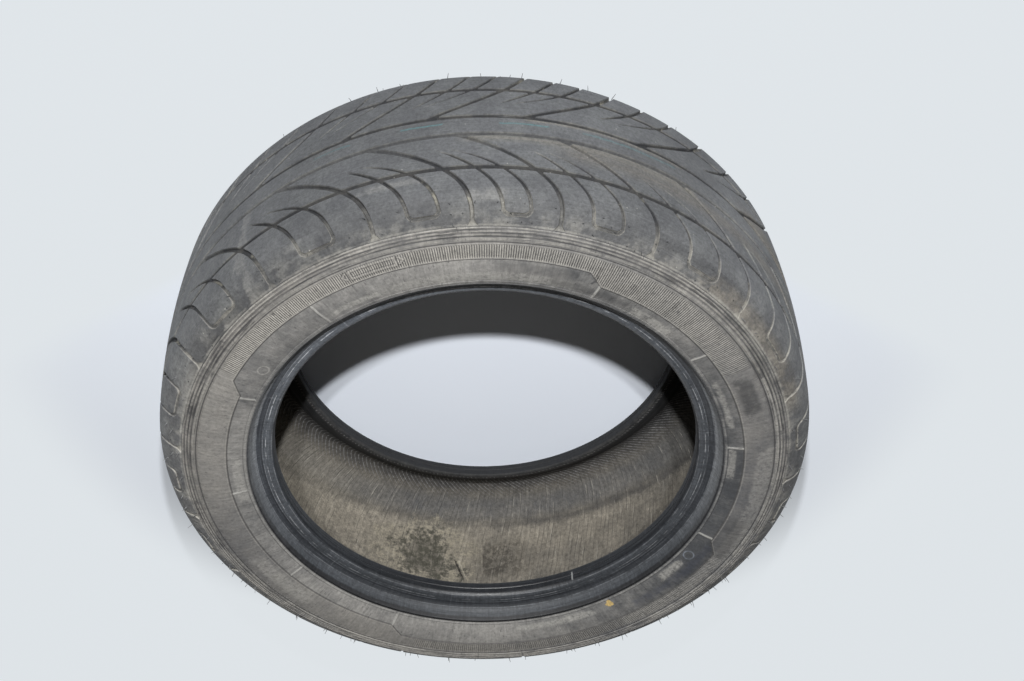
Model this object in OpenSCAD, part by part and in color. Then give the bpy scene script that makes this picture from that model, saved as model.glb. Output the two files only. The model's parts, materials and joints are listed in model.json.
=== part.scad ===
// Worn directional road tyre lying on its side, wheel axis along Z.
// Origin: centre of the tyre, on the wheel axis. The fuller, dirtier sidewall faces +Z.

/* [Overall] */
// Outside diameter over the worn tread
outer_d = 630; // [600:1:700]
// Widest section, sidewall to sidewall
section_w = 233.6; // [200:0.2:260]
// Diameter of the straight bead seat
seat_d = 404.8; // [390:0.2:440]

/* [Casing] */
// Transverse radius of the crown
crown_r = 815; // [500:5:1200]
// Radius of the shoulder, between crown and sidewall
shoulder_r = 40; // [25:1:48]
// Thickness through the middle of the worn tread
tread_t = 12; // [10:0.5:16]
// Thickness of the sidewall at its widest
sidewall_t = 6.5; // [4:0.5:9]
// Radius inside the casing, under the shoulder
inner_shoulder_r = 45; // [25:1:55]

/* [Beads] */
// How far the bead's outer face lies inside the widest section
bead_inset = 20.6; // [18:0.2:30]
// Width of the bead base, heel to toe
bead_w = 17.4; // [14:0.2:22]
// Rounding of the bead heel
heel_r = 6; // [4:0.5:8]
// Rounding of the bead toe
toe_r = 1.6; // [0.6:0.2:2.4]
// Radius of the hollow that seats against the rim flange
flange_r = 12; // [9:0.5:13]
// Height of the rim line above the bead seat
rim_line_h = 23; // [21:0.5:30]
// How far the rim line stands out from the bead face
rim_line_out = 15; // [13:0.5:17]

/* [Tread] */
// Number of pitches round the tread
pitches = 18; // [12:1:24]
// Distance of the two centre grooves from the middle of the tread
centre_groove_at = 14; // [10:0.5:22]
// Distance of the two shoulder grooves from the middle of the tread
shoulder_groove_at = 61; // [52:0.5:66]
// Width of the four circumferential grooves
ring_groove_w = 5; // [3:0.25:7]
// Depth that wear has left in the four circumferential grooves
ring_groove_d = 4.2; // [2:0.1:7]
// Width of the swept grooves where they run across the shoulder
swept_groove_w = 3.4; // [2:0.1:5]
// Depth that wear has left in the swept grooves
swept_groove_d = 3; // [1.5:0.1:5]
// How far a swept groove turns round the tyre on its way to the middle, in degrees
sweep = 22.5; // [10:0.5:28]
// Share of a pitch by which the lower half of the pattern is turned
half_shift = 0.68; // [0:0.01:1]
// Share of a pitch between the two legs of a loop
loop_share = 0.31; // [0.2:0.01:0.4]
// Distance of a loop's fork from the centre groove
loop_fork_at = 22; // [14:0.5:30]

/* [Sidewall relief] */
// Depth of the recessed lettering band, left bare
recess_d = 0.7; // [0.3:0.1:1.5]
// Narrow width of that band, measured from the rim line
band_narrow = 19.5; // [15:0.5:24]
// Wide width of that band, measured from the rim line
band_wide = 31.5; // [26:0.5:34]
// Height of the fine ribs at the shoulder
rib_h = 0.9; // [0.4:0.1:1.5]
// Spacing of the fine ribs at the shoulder
rib_pitch = 3.1; // [2.6:0.1:3.6]

/* [Hidden] */
$fn = 180;

outer_r = outer_d / 2;
seat_r = seat_d / 2;
half_w = section_w / 2;
section_h = outer_r - seat_r;
// The section is widest a little below half its height.
belly_share = 0.467;
belly_r = seat_r + belly_share * section_h;
// The upper sidewall is rounder on a low section than on a tall one.
upper_share = 0.755;
upper_r = upper_share * section_h;
bead_z = half_w - bead_inset;
rim_line_r = seat_r + rim_line_h;
rim_line_z = bead_z + rim_line_out;
lower_drop = half_w - rim_line_z;
lower_r = (pow(belly_r - rim_line_r, 2) + pow(lower_drop, 2)) / (2 * lower_drop);

// Points of the meridian section are [radius, height].
crown_c = [outer_r - crown_r, 0];
upper_c = [belly_r, half_w - upper_r];
lower_c = [belly_r, half_w - lower_r];

// Point at da from a and db from b, on the side away from the tyre's mid plane.
function meet(a, da, b, db) =
    let (d = norm(b - a), u = (b - a) / d, x = (da * da - db * db + d * d) / (2 * d))
    a + x * u + sqrt(da * da - x * x) * [-u[1], u[0]];

function polar(c, r, a) = c + r * [cos(a), sin(a)];
function heading(v) = atan2(v[1], v[0]);
function arc_len(r, a) = r * a * PI / 180;
function arc_deg(r, l) = l * 180 / (PI * r);

// A fillet is held under nine tenths of the largest that fits between crown and sidewall.
function fillet_max(rc, rs) = 0.9 * (rc + rs - norm(upper_c - crown_c)) / 2;

shoulder = min(shoulder_r, fillet_max(crown_r, upper_r));
shoulder_c = meet(crown_c, crown_r - shoulder, upper_c, upper_r - shoulder);
crown_end_a = heading(shoulder_c - crown_c);
upper_start_a = heading(shoulder_c - upper_c);
rim_line_a = 90 + asin((belly_r - rim_line_r) / lower_r);

// Distances along the outside, counted from the middle of the tread.
crown_end = arc_len(crown_r, crown_end_a);
shoulder_end = crown_end + arc_len(shoulder, upper_start_a - crown_end_a);
belly_at = shoulder_end + arc_len(upper_r, 90 - upper_start_a);
rim_line_at = belly_at + arc_len(lower_r, rim_line_a - 90);

// Point of the outside at distance s from the middle of the tread, out by off.
function outside(s, off = 0) =
    s < crown_end ? polar(crown_c, crown_r + off, arc_deg(crown_r, s))
    : s < shoulder_end ? polar(shoulder_c, shoulder + off, crown_end_a + arc_deg(shoulder, s - crown_end))
    : s < belly_at ? polar(upper_c, upper_r + off, upper_start_a + arc_deg(upper_r, s - shoulder_end))
    : polar(lower_c, lower_r + off, 90 + arc_deg(lower_r, s - belly_at));

// Four corners of a groove or a rib across the meridian, as [distance, height].
groove_draft = 0.15;
rib_draft = 0.4;
function ring_groove(at, w, d) =
    let (in = w / 2 - groove_draft * d)
    [[at - w / 2, 0], [at - in, -d], [at + in, -d], [at + w / 2, 0]];
function ring_rib(at, w, h) =
    let (in = w / 2 - rib_draft * h)
    [[at - w / 2, 0], [at - in, h], [at + in, h], [at + w / 2, 0]];

// Plain stretch of the outside from s0 to s1 in n equal steps, without its end.
function plain(s0, s1, n) = s1 > s0 ? [for (i = [0 : n - 1]) [s0 + (s1 - s0) * i / n, 0]] : [];

first_rib_at = shoulder_end + 0.6;
rib_w = 1.9;
last_rib_w = 3;
last_rib_at = first_rib_at + 3 * rib_pitch + 0.6;
edge_groove_w = 1.2;
edge_groove_d = 0.8;
edge_groove_at = last_rib_at + rib_pitch + 1;
half_groove = ring_groove_w / 2;
// The shoulder grooves may lie on the crown or reach onto the shoulder.
past_groove = shoulder_groove_at + half_groove + 6;

outside_path = concat(
    plain(0, centre_groove_at - half_groove, 1),
    ring_groove(centre_groove_at, ring_groove_w, ring_groove_d),
    plain(centre_groove_at + half_groove + 8, shoulder_groove_at - half_groove, 2),
    ring_groove(shoulder_groove_at, ring_groove_w, ring_groove_d),
    plain(past_groove, crown_end, 1),
    plain(max(past_groove, crown_end), first_rib_at - 1.2, 7),
    [for (i = [0 : 2]) each ring_rib(first_rib_at + i * rib_pitch, rib_w, rib_h)],
    ring_rib(last_rib_at, last_rib_w, rib_h),
    ring_groove(edge_groove_at, edge_groove_w, edge_groove_d),
    plain(edge_groove_at + 3, belly_at, 3),
    plain(belly_at, rim_line_at, 5),
    [[rim_line_at, 0]]);

// Bead, from the rim line round the flange hollow and the heel to the toe.
face_end_r = seat_r + heel_r + 3;
function flange_hollow(a) = [face_end_r + flange_r * sin(a), bead_z + flange_r - flange_r * cos(a)];
function heel(a) = [seat_r + heel_r - heel_r * sin(a), bead_z - heel_r + heel_r * cos(a)];
toe_z = bead_z - bead_w;
function toe(a) = [seat_r + toe_r - toe_r * cos(a), toe_z + toe_r - toe_r * sin(a)];
bead_path = concat(
    [[rim_line_r - 1.2, rim_line_z - 1.4]],
    [for (a = [66 : -11 : 0]) flange_hollow(a)],
    [for (a = [0 : 18 : 90]) heel(a)],
    [for (a = [0 : 30 : 90]) toe(a)]);

// Inside of the casing: crown, shoulder and sidewall arcs, then a curve down to the toe.
inner_crown_r = crown_r - tread_t;
inner_upper_r = upper_r - sidewall_t;
inner_shoulder = min(inner_shoulder_r, fillet_max(inner_crown_r, inner_upper_r));
inner_shoulder_c = meet(crown_c, inner_crown_r - inner_shoulder, upper_c, inner_upper_r - inner_shoulder);
inner_crown_a = heading(inner_shoulder_c - crown_c);
inner_upper_a = heading(inner_shoulder_c - upper_c);
inner_end_a = 94;
inner_end = polar(upper_c, inner_upper_r, inner_end_a);
toe_end = toe(90);
// The curve leaves the toe a little above level and meets the sidewall arc on its tangent.
toe_lead = toe_end + [12, 1];
inner_pull = 14;
inner_lead = inner_end + inner_pull * [-sin(inner_end_a), cos(inner_end_a)];

function bezier(p0, p1, p2, p3, t) =
    pow(1 - t, 3) * p0 + 3 * pow(1 - t, 2) * t * p1 + 3 * (1 - t) * t * t * p2 + t * t * t * p3;

inside_path = concat(
    [for (i = [1 : 7]) bezier(toe_end, toe_lead, inner_lead, inner_end, i / 8)],
    [for (i = [0 : 3]) polar(upper_c, inner_upper_r, inner_end_a + (inner_upper_a - inner_end_a) * i / 4)],
    [for (i = [0 : 6])
        polar(inner_shoulder_c, inner_shoulder, inner_upper_a + (inner_crown_a - inner_upper_a) * i / 6)],
    [for (i = [1 : 3]) polar(crown_c, inner_crown_r, inner_crown_a * (1 - i / 4))]);

// Upper half of the section, from the outside of the crown to its inside.
half_section = concat([for (p = outside_path) outside(p[0], p[1])], bead_path, inside_path);

function flip(p) = [p[0], -p[1]];
count = len(half_section);
full_section = concat(half_section, [for (i = [count - 1 : -1 : 1]) flip(half_section[i])]);

// Shoulder end of a swept groove: the pitches are unequal, short at the front of the tyre.
first_pitch = 4.5;
pitch_swing = 0.22;
pitch_ripple = 0.19;
function pitch_at(x) =
    let (pitch = 360 / pitches, a = pitch * x)
    first_pitch + a - pitch_ripple * pitch * sin(3 * a) - pitch_swing * pitch * sin(a);

// Angle by which a swept groove leads its shoulder end, at distance s from the middle.
sweep_end = shoulder_end - 11.8;
function lead(s) = -sweep * pow(max(0, 1 - s / sweep_end), 2);

// Point in space at angle a from the front, at distance s from the middle and out by off.
function on_tyre(a, s, off) = let (p = outside(s, off)) [-p[0] * sin(a), -p[0] * cos(a), p[1]];

// Side corner of a swept groove at step i of its path of [angle, distance, width, depth].
function across(path, i) =
    let (
        p = path[max(0, i - 1)],
        q = path[min(len(path) - 1, i + 1)],
        r = outer_r * PI / 180,
        v = [(q[0] - p[0]) * r, q[1] - p[1]])
    [-v[1] / r, v[0]] / norm(v);

// Solid ribbon along a path on the outside, its base at the depth given at each step.
clear = 2.4;
module ribbon(path) {
    n = len(path);
    corners = [for (i = [0 : n - 1])
        let (p = path[i], o = across(path, i) * p[2] / 2)
        each [
            on_tyre(p[0] - o[0], p[1] - o[1], clear),
            on_tyre(p[0] + o[0], p[1] + o[1], clear),
            on_tyre(p[0] + o[0], p[1] + o[1], -p[3]),
            on_tyre(p[0] - o[0], p[1] - o[1], -p[3])]];
    sides = [for (i = [0 : n - 2], k = [0 : 3])
        [4 * i + k, 4 * i + 4 + k, 4 * i + 4 + (k + 1) % 4, 4 * i + (k + 1) % 4]];
    polyhedron(points = corners, faces = concat([[0, 1, 2, 3]], sides,
        [[4 * n - 1, 4 * n - 2, 4 * n - 3, 4 * n - 4]]), convexity = 4);
}

// Long groove from the centre groove to a flared mouth under the shoulder ribs.
widening = 1.2;
flare = 5.6;
mouth_depth = 0.35;
module long_groove(a) {
    start = centre_groove_at;
    run = sweep_end - 2 - start;
    w = swept_groove_w;
    d = swept_groove_d;
    body = [for (t = [0, 0.27, 0.55, 0.8, 1])
        [a + lead(start + run * t), start + run * t, w + widening * (1 - t), d]];
    mouth = [
        [a, shoulder_end - 6.5, w, 0.8 * d],
        [a, shoulder_end - 1.6, w + flare, mouth_depth * d]];
    ribbon(concat(body, mouth));
}

// Pair of grooves that share a rounded end at the shoulder and close up in a fork.
loop_w = 0.85 * swept_groove_w;
loop_d = 0.9 * swept_groove_d;
loop_end_d = 0.6 * swept_groove_d;
fork_pull = 0.55;
module loop_groove(a, span) {
    fork = centre_groove_at + loop_fork_at;
    run = sweep_end - 3 - fork;
    function leg_w(t) = loop_w * (0.6 + 0.4 * min(1, 4 * t));
    function leg_d(t) = loop_d + (loop_end_d - loop_d) * t;
    left = [for (t = [0, 0.42, 0.76, 1]) let (s = fork + run * t)
        [a - span / 2 + lead(s), s, leg_w(t), leg_d(t)]];
    cap = [for (side = [-1, 1]) [a + side * span * 0.34, fork + run + 4, loop_w, loop_end_d]];
    right = [for (t = [1, 0.76, 0.42, 0]) let (s = fork + 2 + (run - 2) * t)
        [a + span / 2 + lead(s) - fork_pull * span * pow(1 - t, 5), s, leg_w(t), leg_d(t)]];
    ribbon(concat(left, cap, right));
}

module half_tread(shift) {
    for (k = [0 : pitches - 1]) {
        before = pitch_at(k + 0.5 + shift);
        after = pitch_at(k + 1.5 + shift);
        long_groove(before);
        loop_groove(pitch_at(k + 1 + shift), loop_share * (after - before));
    }
}

// Recessed band of the sidewall: narrow at the sides, wide over the front and the back.
// The wide parts start inside the narrow circle, and their slanted ends run out past the wide one.
inside_narrow = 0.9;
outside_wide = 1.06;
far_out = 1.6;
wide_half_angle = 43;
wide_middle = -21.5;
slant = 3.5;
rim_rib_w = 3;
module band_outline() {
    narrow = outside(rim_line_at - band_narrow)[0];
    wide = outside(rim_line_at - band_wide)[0];
    difference() {
        union() {
            circle(r = narrow);
            for (turn = [0, 180])
                rotate(-90 - wide_middle + turn)
                    intersection() {
                        circle(r = wide);
                        polygon([
                            polar([0, 0], narrow * inside_narrow, -wide_half_angle - slant),
                            polar([0, 0], wide * outside_wide, -wide_half_angle + slant / 2),
                            [wide * far_out, 0],
                            polar([0, 0], wide * outside_wide, wide_half_angle - slant / 2),
                            polar([0, 0], narrow * inside_narrow, wide_half_angle + slant)]);
                    }
        }
        circle(r = rim_line_r + rim_rib_w);
    }
}

module band_recess() {
    inner = rim_line_at - 1;
    outer = rim_line_at - band_wide - 2;
    steps = [for (i = [0 : 6]) inner + (outer - inner) * i / 6];
    intersection() {
        rotate_extrude() polygon(concat(
            [for (s = steps) outside(s, -recess_d)],
            [for (i = [6 : -1 : 0]) outside(steps[i], 3)]));
        translate([0, 0, rim_line_z - 8]) linear_extrude(height = half_w - rim_line_z + 16) band_outline();
    }
}

// Slim radial bar that divides the recessed band, rooted in its floor.
bar_angle = 0.5;
bar_root = 1;
bar_top = -0.15;
module divider(a) {
    inner = rim_line_at - 2;
    outer = rim_line_at - band_narrow - 0.4;
    steps = [for (i = [0 : 3]) inner + (outer - inner) * i / 3];
    rotate([0, 0, 270 - a - bar_angle / 2])
        rotate_extrude(angle = bar_angle) polygon(concat(
            [for (s = steps) outside(s, -recess_d - bar_root)],
            [for (i = [3 : -1 : 0]) outside(steps[i], bar_top)]));
}

// Twelve places round the band, of which three have no bar.
first_bar = -67;
module side_relief() {
    for (i = [0 : 11]) {
        if (i != 2 && i != 7 && i != 8) divider(30 * i + first_bar);
    }
}

module casing() {
    rotate_extrude() polygon(full_section);
}

module tyre() color("dimgray") {
    difference() {
        casing();
        band_recess();
        mirror([0, 0, 1]) band_recess();
        half_tread(0);
        mirror([0, 0, 1]) half_tread(half_shift);
    }
    side_relief();
    mirror([0, 0, 1]) side_relief();
}

tyre();
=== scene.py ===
import json
import math
import random

import bpy
import numpy as np
from mathutils import Matrix, Vector


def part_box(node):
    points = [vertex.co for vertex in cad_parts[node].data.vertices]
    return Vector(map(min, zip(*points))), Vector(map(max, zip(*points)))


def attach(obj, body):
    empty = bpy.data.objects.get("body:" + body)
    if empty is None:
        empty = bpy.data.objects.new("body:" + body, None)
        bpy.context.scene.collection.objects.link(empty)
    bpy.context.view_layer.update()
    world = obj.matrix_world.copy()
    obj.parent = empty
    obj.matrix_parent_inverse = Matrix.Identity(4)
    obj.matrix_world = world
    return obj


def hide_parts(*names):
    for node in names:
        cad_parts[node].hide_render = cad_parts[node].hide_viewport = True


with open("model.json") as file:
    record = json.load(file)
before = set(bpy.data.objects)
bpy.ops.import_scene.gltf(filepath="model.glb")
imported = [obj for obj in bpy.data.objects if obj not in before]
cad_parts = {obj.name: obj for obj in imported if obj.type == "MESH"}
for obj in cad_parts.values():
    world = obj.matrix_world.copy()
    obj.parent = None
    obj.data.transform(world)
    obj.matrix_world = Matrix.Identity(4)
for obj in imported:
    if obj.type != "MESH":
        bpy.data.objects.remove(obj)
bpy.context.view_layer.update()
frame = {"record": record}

# Sizes of the tyre in metres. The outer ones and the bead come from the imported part.
MM = 0.001
low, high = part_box("tyre")
mounts = {mount["name"]: mount for mount in frame["record"]["mounts"]}

OUTER_R = (high.x - low.x) / 2
HALF_W = (high.z - low.z) / 2
SEAT_R = mounts["rim_seat"]["dims"]["r_mm"] * MM
BEAD_Z = mounts["bead_face_upper"]["pos_m"][2]
SECTION_H = OUTER_R - SEAT_R

CROWN_R = 815 * MM
SHOULDER_R = 40 * MM
UPPER_R = 0.755 * SECTION_H
BELLY_R = SEAT_R + 0.467 * SECTION_H
RIM_LINE_R = SEAT_R + 23 * MM
RIM_LINE_Z = BEAD_Z + 15 * MM
LOWER_DROP = HALF_W - RIM_LINE_Z
LOWER_R = ((BELLY_R - RIM_LINE_R) ** 2 + LOWER_DROP**2) / (2 * LOWER_DROP)

TREAD_T = 12 * MM
SIDEWALL_T = 6.5 * MM
INNER_SHOULDER_R = 45 * MM
BEAD_W = 17.4 * MM
HEEL_R = 6 * MM
TOE_R = 1.6 * MM
FLANGE_R = 12 * MM

# SWEEP is the lead of a swept groove at the middle in degrees; the lower half of the tread is
# turned by HALF_SHIFT of a pitch.
PITCHES = 18
PITCH = 360 / PITCHES
SWEEP = 22.5
HALF_SHIFT = 0.68
CENTRE_GROOVE = 14 * MM
SHOULDER_GROOVE = 61 * MM
RING_GROOVE_W = 5 * MM
RING_GROOVE_D = 4.2 * MM
SWEPT_W = 3.4 * MM
SWEPT_D = 3 * MM

RECESS_D = 0.7 * MM
BAND_NARROW = 19.5 * MM
BAND_WIDE = 31.5 * MM
RIB_H = 0.9 * MM
RIB_PITCH = 3.1 * MM
SERRATIONS = 800
SERRATION_D = 0.5 * MM

# The camera looks across the near tread into the open casing.
CAMERA_AT = (0.0214, -1.0987, 1.1986)
CAMERA_LOOK = (-0.0297, 0.6529, -0.7569)
CAMERA_UP = (0, -0.757, -0.653)
LENS_MM = 56.95

camera_data = bpy.data.cameras.new("camera")
camera = bpy.data.objects.new("camera", camera_data)
bpy.context.scene.collection.objects.link(camera)
bpy.context.scene.camera = camera
camera_data.sensor_width = 36
camera_data.lens = LENS_MM
camera_data.clip_start = 0.05
look = Vector(CAMERA_LOOK).normalized()
image_up = Vector(CAMERA_UP)
image_up = (image_up - look * image_up.dot(look)).normalized()
image_right = look.cross(image_up)
camera.matrix_world = Matrix.Translation(CAMERA_AT) @ Matrix(
    (image_right, image_up, -look)
).transposed().to_4x4()


# Section of the tyre. Points are (radius, height); s runs over the outside from the mid plane.
def meet(a, da, b, db):
    """Point at da from a and db from b, on the side away from the mid plane."""
    d = math.dist(a, b)
    u = ((b[0] - a[0]) / d, (b[1] - a[1]) / d)
    x = (da * da - db * db + d * d) / (2 * d)
    y = math.sqrt(da * da - x * x)
    return (a[0] + x * u[0] - y * u[1], a[1] + x * u[1] + y * u[0])


def polar(centre, radius, angle):
    return (centre[0] + radius * math.cos(angle), centre[1] + radius * math.sin(angle))


def heading(a, b):
    return math.atan2(b[1] - a[1], b[0] - a[0])


def spread(a, b, n):
    """n equal steps from a towards b, without b."""
    return [a + (b - a) * i / n for i in range(n)]


CROWN_C = (OUTER_R - CROWN_R, 0)
UPPER_C = (BELLY_R, HALF_W - UPPER_R)
LOWER_C = (BELLY_R, HALF_W - LOWER_R)
SHOULDER_C = meet(CROWN_C, CROWN_R - SHOULDER_R, UPPER_C, UPPER_R - SHOULDER_R)
CROWN_END_A = heading(CROWN_C, SHOULDER_C)
UPPER_START_A = heading(UPPER_C, SHOULDER_C)
RIM_LINE_A = math.pi / 2 + math.asin((BELLY_R - RIM_LINE_R) / LOWER_R)

CROWN_END = CROWN_R * CROWN_END_A
SHOULDER_END = CROWN_END + SHOULDER_R * (UPPER_START_A - CROWN_END_A)
BELLY_AT = SHOULDER_END + UPPER_R * (math.pi / 2 - UPPER_START_A)
RIM_LINE_AT = BELLY_AT + LOWER_R * (RIM_LINE_A - math.pi / 2)
TREAD_END = SHOULDER_END - 0.6 * MM
SWEEP_END = SHOULDER_END - 11.8 * MM


def outside(s, off=0.0):
    """Point of the outside at distance s from the mid plane, out by off."""
    if s < CROWN_END:
        return polar(CROWN_C, CROWN_R + off, s / CROWN_R)
    if s < SHOULDER_END:
        return polar(SHOULDER_C, SHOULDER_R + off, CROWN_END_A + (s - CROWN_END) / SHOULDER_R)
    if s < BELLY_AT:
        return polar(UPPER_C, UPPER_R + off, UPPER_START_A + (s - SHOULDER_END) / UPPER_R)
    return polar(LOWER_C, LOWER_R + off, math.pi / 2 + (s - BELLY_AT) / LOWER_R)


# Modelling tools
def place(radius, height, angle):
    """Points in space; angle is in degrees from the front, -Y, and grows towards -X."""
    a = np.radians(angle)
    return np.stack([-radius * np.sin(a), -radius * np.cos(a), height + 0 * a], -1)


def pick(piece):
    """Makes a piece the only one selected."""
    bpy.ops.object.select_all(action="DESELECT")
    piece.select_set(True)
    bpy.context.view_layer.objects.active = piece


def edit(on):
    bpy.ops.object.mode_set(mode="EDIT" if on else "OBJECT")


DOUBLINGS = 5


def lathed(name, outline, columns):
    """Closed outline of (radius, height) points, extruded point by point and spun into a ring.

    One sector is spun, and then the sectors are doubled until they close the ring.
    """
    sector = 2 * math.pi / 2**DOUBLINGS
    corners = [Vector(place(radius, height, 0.0)) for radius, height in outline]
    bpy.ops.object.select_all(action="DESELECT")
    bpy.ops.mesh.primitive_plane_add(size=0.01, location=corners[0])
    ring = bpy.context.object
    ring.name = ring.data.name = name
    edit(True)
    bpy.ops.mesh.select_mode(type="VERT")
    bpy.ops.mesh.select_all(action="SELECT")
    bpy.ops.mesh.merge(type="CENTER")
    for start, end in zip(corners, corners[1:] + corners[:1]):
        bpy.ops.mesh.extrude_vertices_move(TRANSFORM_OT_translate={"value": end - start})
    bpy.ops.mesh.select_all(action="SELECT")
    bpy.ops.mesh.remove_doubles(threshold=1e-6)
    bpy.ops.mesh.select_all(action="SELECT")
    bpy.ops.mesh.spin(steps=columns // 2**DOUBLINGS, angle=sector, center=(0, 0, 0), axis=(0, 0, 1))
    for i in range(DOUBLINGS):
        bpy.ops.mesh.select_all(action="SELECT")
        bpy.ops.mesh.duplicate()
        bpy.ops.transform.rotate(value=sector * 2**i, orient_axis="Z", center_override=(0, 0, 0))
    bpy.ops.mesh.select_all(action="SELECT")
    bpy.ops.mesh.remove_doubles(threshold=2e-5)
    bpy.ops.mesh.normals_make_consistent(inside=False)
    edit(False)
    bpy.ops.object.transform_apply(location=True, rotation=False, scale=False)
    return ring


def turned_over(piece, name):
    """Copy of a ring with its own mesh, mirrored to the other side of the mid plane."""
    pick(piece)
    bpy.ops.object.duplicate(linked=False)
    twin = bpy.context.object
    twin.name = twin.data.name = name
    edit(True)
    bpy.ops.mesh.select_all(action="SELECT")
    bpy.ops.transform.resize(value=(1, 1, -1), center_override=(0, 0, 0))
    bpy.ops.mesh.normals_make_consistent(inside=False)
    edit(False)
    return twin


def points_of(piece):
    flat = np.empty(len(piece.data.vertices) * 3)
    piece.data.vertices.foreach_get("co", flat)
    return flat.reshape(-1, 3)


def turn_of(points):
    """Angle of each point, in degrees from the front."""
    return np.degrees(np.arctan2(-points[:, 0], -points[:, 1]))


def near(a, b):
    """Difference between two angles in degrees, from -180 to 180."""
    return (a - b + 180) % 360 - 180


def ramp(value, start, end):
    """Smooth step from 0 at start to 1 at end."""
    t = np.clip((value - start) / (end - start), 0, 1)
    return t * t * (3 - 2 * t)


def grid_of(ring, outline, columns):
    """Which point of the outline, and which column, each point of a lathed ring belongs to."""
    points = points_of(ring)
    here = np.column_stack([np.hypot(points[:, 0], points[:, 1]), np.abs(points[:, 2])])
    there = np.array(outline)
    row = np.empty(len(here), int)
    at_once = 20000
    for start in range(0, len(here), at_once):
        part = here[start : start + at_once]
        row[start : start + at_once] = np.hypot(
            part[:, None, 0] - there[None, :, 0], part[:, None, 1] - there[None, :, 1]
        ).argmin(1)
    column = np.round(turn_of(points) * columns / 360).astype(int) % columns
    return row, column


def record_field(piece, name, values):
    """Keeps one number for each point, for the materials to read."""
    field = piece.data.attributes.new(name, "FLOAT", "POINT")
    field.data.foreach_set("value", np.asarray(values, np.float32))


def carve(piece, depth):
    """Sinks each point along its normal by its depth, with a Displace modifier."""
    deepest = float(depth.max())
    group = piece.vertex_groups.new(name="depth")
    for i in np.nonzero(depth > 1e-7)[0]:
        group.add([int(i)], float(depth[i] / deepest), "REPLACE")
    sink = piece.modifiers.new("carve", "DISPLACE")
    sink.vertex_group = group.name
    sink.direction = "NORMAL"
    sink.mid_level = 0.0
    sink.strength = -deepest
    pick(piece)
    bpy.ops.object.modifier_apply(modifier=sink.name)
    piece.vertex_groups.clear()


def smooth(piece, degrees):
    pick(piece)
    bpy.ops.object.shade_smooth_by_angle(angle=math.radians(degrees))


# Tread: two rings whose columns follow the swept grooves, so that each groove wall is clean.
DEGREE = math.radians(1) * OUTER_R
LOOP_TIP = CENTRE_GROOVE + 22 * MM
LOOP_CAP = SWEEP_END + 1 * MM
LOOP_SHARE = 0.31
LOOP_W = 0.85 * SWEPT_W
LOOP_CORNER = 5.5 * MM
WALL = 0.5 * MM
RING_WALL = 0.6 * MM
TREAD_BACK = -5.5 * MM
FIRST_GROOVE = 4.5
# Numbers of columns: beside a groove, between the legs of a loop, and on one groove.
BETWEEN = 9
INSIDE_LOOP = 15
ON_A_GROOVE = 5
# A pitch has one long groove and the two legs of a loop.
PER_PITCH = 3 * ON_A_GROOVE + 2 * BETWEEN + INSIDE_LOOP
TREAD_COLUMNS = PITCHES * PER_PITCH


def wall_rows(at, half, wall, side):
    """Three rows down one wall of a groove that runs round the tyre."""
    return [at + side * (half + wall), at + side * (half + wall / 6), at + side * (half - wall)]


def ring_groove_rows(at):
    half = RING_GROOVE_W / 2
    return sorted(wall_rows(at, half, RING_WALL, -1) + wall_rows(at, half, RING_WALL, 1))


def cap_rows():
    """Rows across the rounded ends of the loops and the mouths of the long grooves."""
    half = LOOP_W / 2
    return spread(LOOP_CAP - LOOP_CORNER - 2 * MM, LOOP_CAP - half - WALL, 5) + [
        LOOP_CAP - half - WALL, LOOP_CAP - half + WALL, LOOP_CAP, LOOP_CAP + half - WALL,
        LOOP_CAP + half + WALL]


GROOVE_SIDE = RING_GROOVE_W / 2 + RING_WALL
TREAD_ROWS = (
    spread(0, CENTRE_GROOVE - GROOVE_SIDE, 3)
    + ring_groove_rows(CENTRE_GROOVE)
    + spread(CENTRE_GROOVE + GROOVE_SIDE + 2 * MM, SHOULDER_GROOVE - GROOVE_SIDE, 15)
    + ring_groove_rows(SHOULDER_GROOVE)
    + spread(SHOULDER_GROOVE + GROOVE_SIDE + 2 * MM, LOOP_CAP - LOOP_CORNER - 2 * MM, 14)
    + cap_rows()
    + spread(LOOP_CAP + LOOP_W / 2 + WALL + 1 * MM, TREAD_END, 7)
    + [TREAD_END]
)
TREAD_WALL = [(s, TREAD_BACK) for s in (TREAD_END, 92 * MM, 58 * MM, 24 * MM, 0)]
TREAD_OUTLINE = [outside(s) for s in TREAD_ROWS] + [outside(s, off) for s, off in TREAD_WALL]


def pitch_at(x):
    """Shoulder end of swept groove number x, in degrees: the pitches are short at the front."""
    a = math.radians(PITCH) * x
    return FIRST_GROOVE + PITCH * x - 0.19 * PITCH * np.sin(3 * a) - 0.22 * PITCH * np.sin(a)


def lead(s):
    """Angle, in degrees, by which a swept groove leads its shoulder end."""
    return -SWEEP * np.clip(1 - s / SWEEP_END, 0, None) ** 2


def square_degree(s):
    """Length of one degree of turn at the tread, measured square to a swept groove."""
    slope = 2 * SWEEP / SWEEP_END * np.clip(1 - s / SWEEP_END, 0, None) * DEGREE
    return DEGREE / np.sqrt(1 + slope**2)


def long_width(s):
    """Width of a long groove: wider towards the middle, and flared at its mouth."""
    inner = np.clip((SWEEP_END - s) / (SWEEP_END - CENTRE_GROOVE), 0, 1)
    return SWEPT_W + 1.2 * MM * inner + 6 * MM * ramp(s, SHOULDER_END - 6.5 * MM, SHOULDER_END - 1 * MM)


def leg_width(s):
    return LOOP_W * (0.55 + 0.45 * ramp(s, LOOP_TIP, LOOP_TIP + 20 * MM))


def leg_places(a, b, middle, s):
    """Angles of the two legs of the loop between the long grooves at a and b."""
    span = LOOP_SHARE * (b - a)
    pull = 0.55 * span * np.clip((SWEEP_END - s) / (SWEEP_END - LOOP_TIP), 0, 1) ** 5
    return middle - span / 2, middle + span / 2 - pull


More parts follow.
